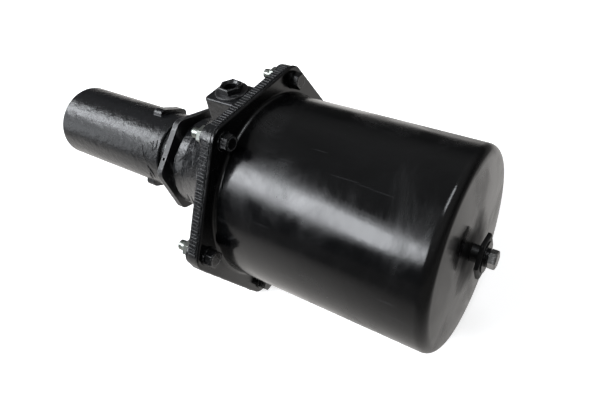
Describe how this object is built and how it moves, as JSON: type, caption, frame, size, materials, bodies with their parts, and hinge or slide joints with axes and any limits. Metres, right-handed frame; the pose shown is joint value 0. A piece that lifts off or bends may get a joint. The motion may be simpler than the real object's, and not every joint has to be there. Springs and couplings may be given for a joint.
{
  "type": "spring brake chamber",
  "caption": "Piston spring brake chamber: drawn can with power spring, hex-flanged cast housing with side air port, and push rod in a long cast sleeve.",
  "frame": {"origin": "centre of the sleeve's mouth, on the chamber's axis", "axes": "+X along the axis from the sleeve's mouth to the release bolt, +Z towards the air port, so the flange's flats are at the top and bottom"},
  "size_m": [0.4532, 0.213, 0.192],
  "materials": {
    "can_paint": "gloss black paint on drawn steel",
    "casting_paint": "satin black paint on a rough casting",
    "plate_paint": "thin satin black paint, worn at the edges",
    "black_fastener": "black paint over plated steel",
    "zinc_plate": "clear zinc plate",
    "bare_steel": "ground steel",
    "spring_steel": "oiled spring steel",
    "bearing_bronze": "sintered bronze",
    "black_rubber": "moulded nitrile rubber",
    "gasket_fibre": "compressed fibre",
    "wear_ring_nylon": "natural nylon",
    "piston_aluminium": "die-cast aluminium"
  },
  "bodies": {
    "chamber": {"sleeve": "casting_paint", "thrust_ring": "zinc_plate", "lock_nut": "plate_paint", "sleeve_seal": "black_rubber", "sleeve_bush": "bearing_bronze", "housing": "casting_paint", "rod_bush": "bearing_bronze", "rod_seal": "black_rubber", "seal_washer": "bare_steel", "snap_ring": "spring_steel", "port_washer": "plate_paint", "port_bushing": "plate_paint", "can": "can_paint", "flange_gasket": "gasket_fibre", "flange_bolts": "black_fastener", "bolt_washers": "black_fastener", "flange_nuts": "zinc_plate", "spring_seat": "bare_steel", "release_nut": "plate_paint", "release_ring": "bare_steel", "power_spring": "spring_steel"},
    "piston": {"piston": "piston_aluminium", "piston_seal": "black_rubber", "wear_ring": "wear_ring_nylon", "push_rod": "bare_steel", "rod_head": "bare_steel", "rod_oring": "black_rubber", "guide_tube": "bare_steel", "guide_collar": "bare_steel", "guide_snap_ring": "spring_steel", "rod_washer": "zinc_plate", "rod_nut": "zinc_plate"},
    "release_collar": {"release_collar": "black_fastener"},
    "release_bolt": {"release_bolt": "bare_steel", "release_button": "bare_steel"}
  },
  "joints": [
    {"name": "piston_slide", "type": "slide", "parent": "chamber", "child": "piston", "axis": [1, 0, 0], "range_m": [0, 0.06], "stiffness_N_per_m": 2500, "springref_m": -0.06, "deforming": ["power_spring"]},
    {"name": "release_collar_slide", "type": "slide", "parent": "chamber", "child": "release_collar", "axis": [1, 0, 0], "range_m": [0, 0.012]},
    {"name": "release_bolt_turn", "type": "hinge", "parent": "release_collar", "child": "release_bolt", "pos_m": [0.45, 0, 0], "axis": [1, 0, 0], "range_deg": [0, 2880]}
  ],
  "couplings": [
    {"joint": "release_bolt_turn", "follows": "release_collar_slide", "rad_per_m": 4188.8}
  ]
}
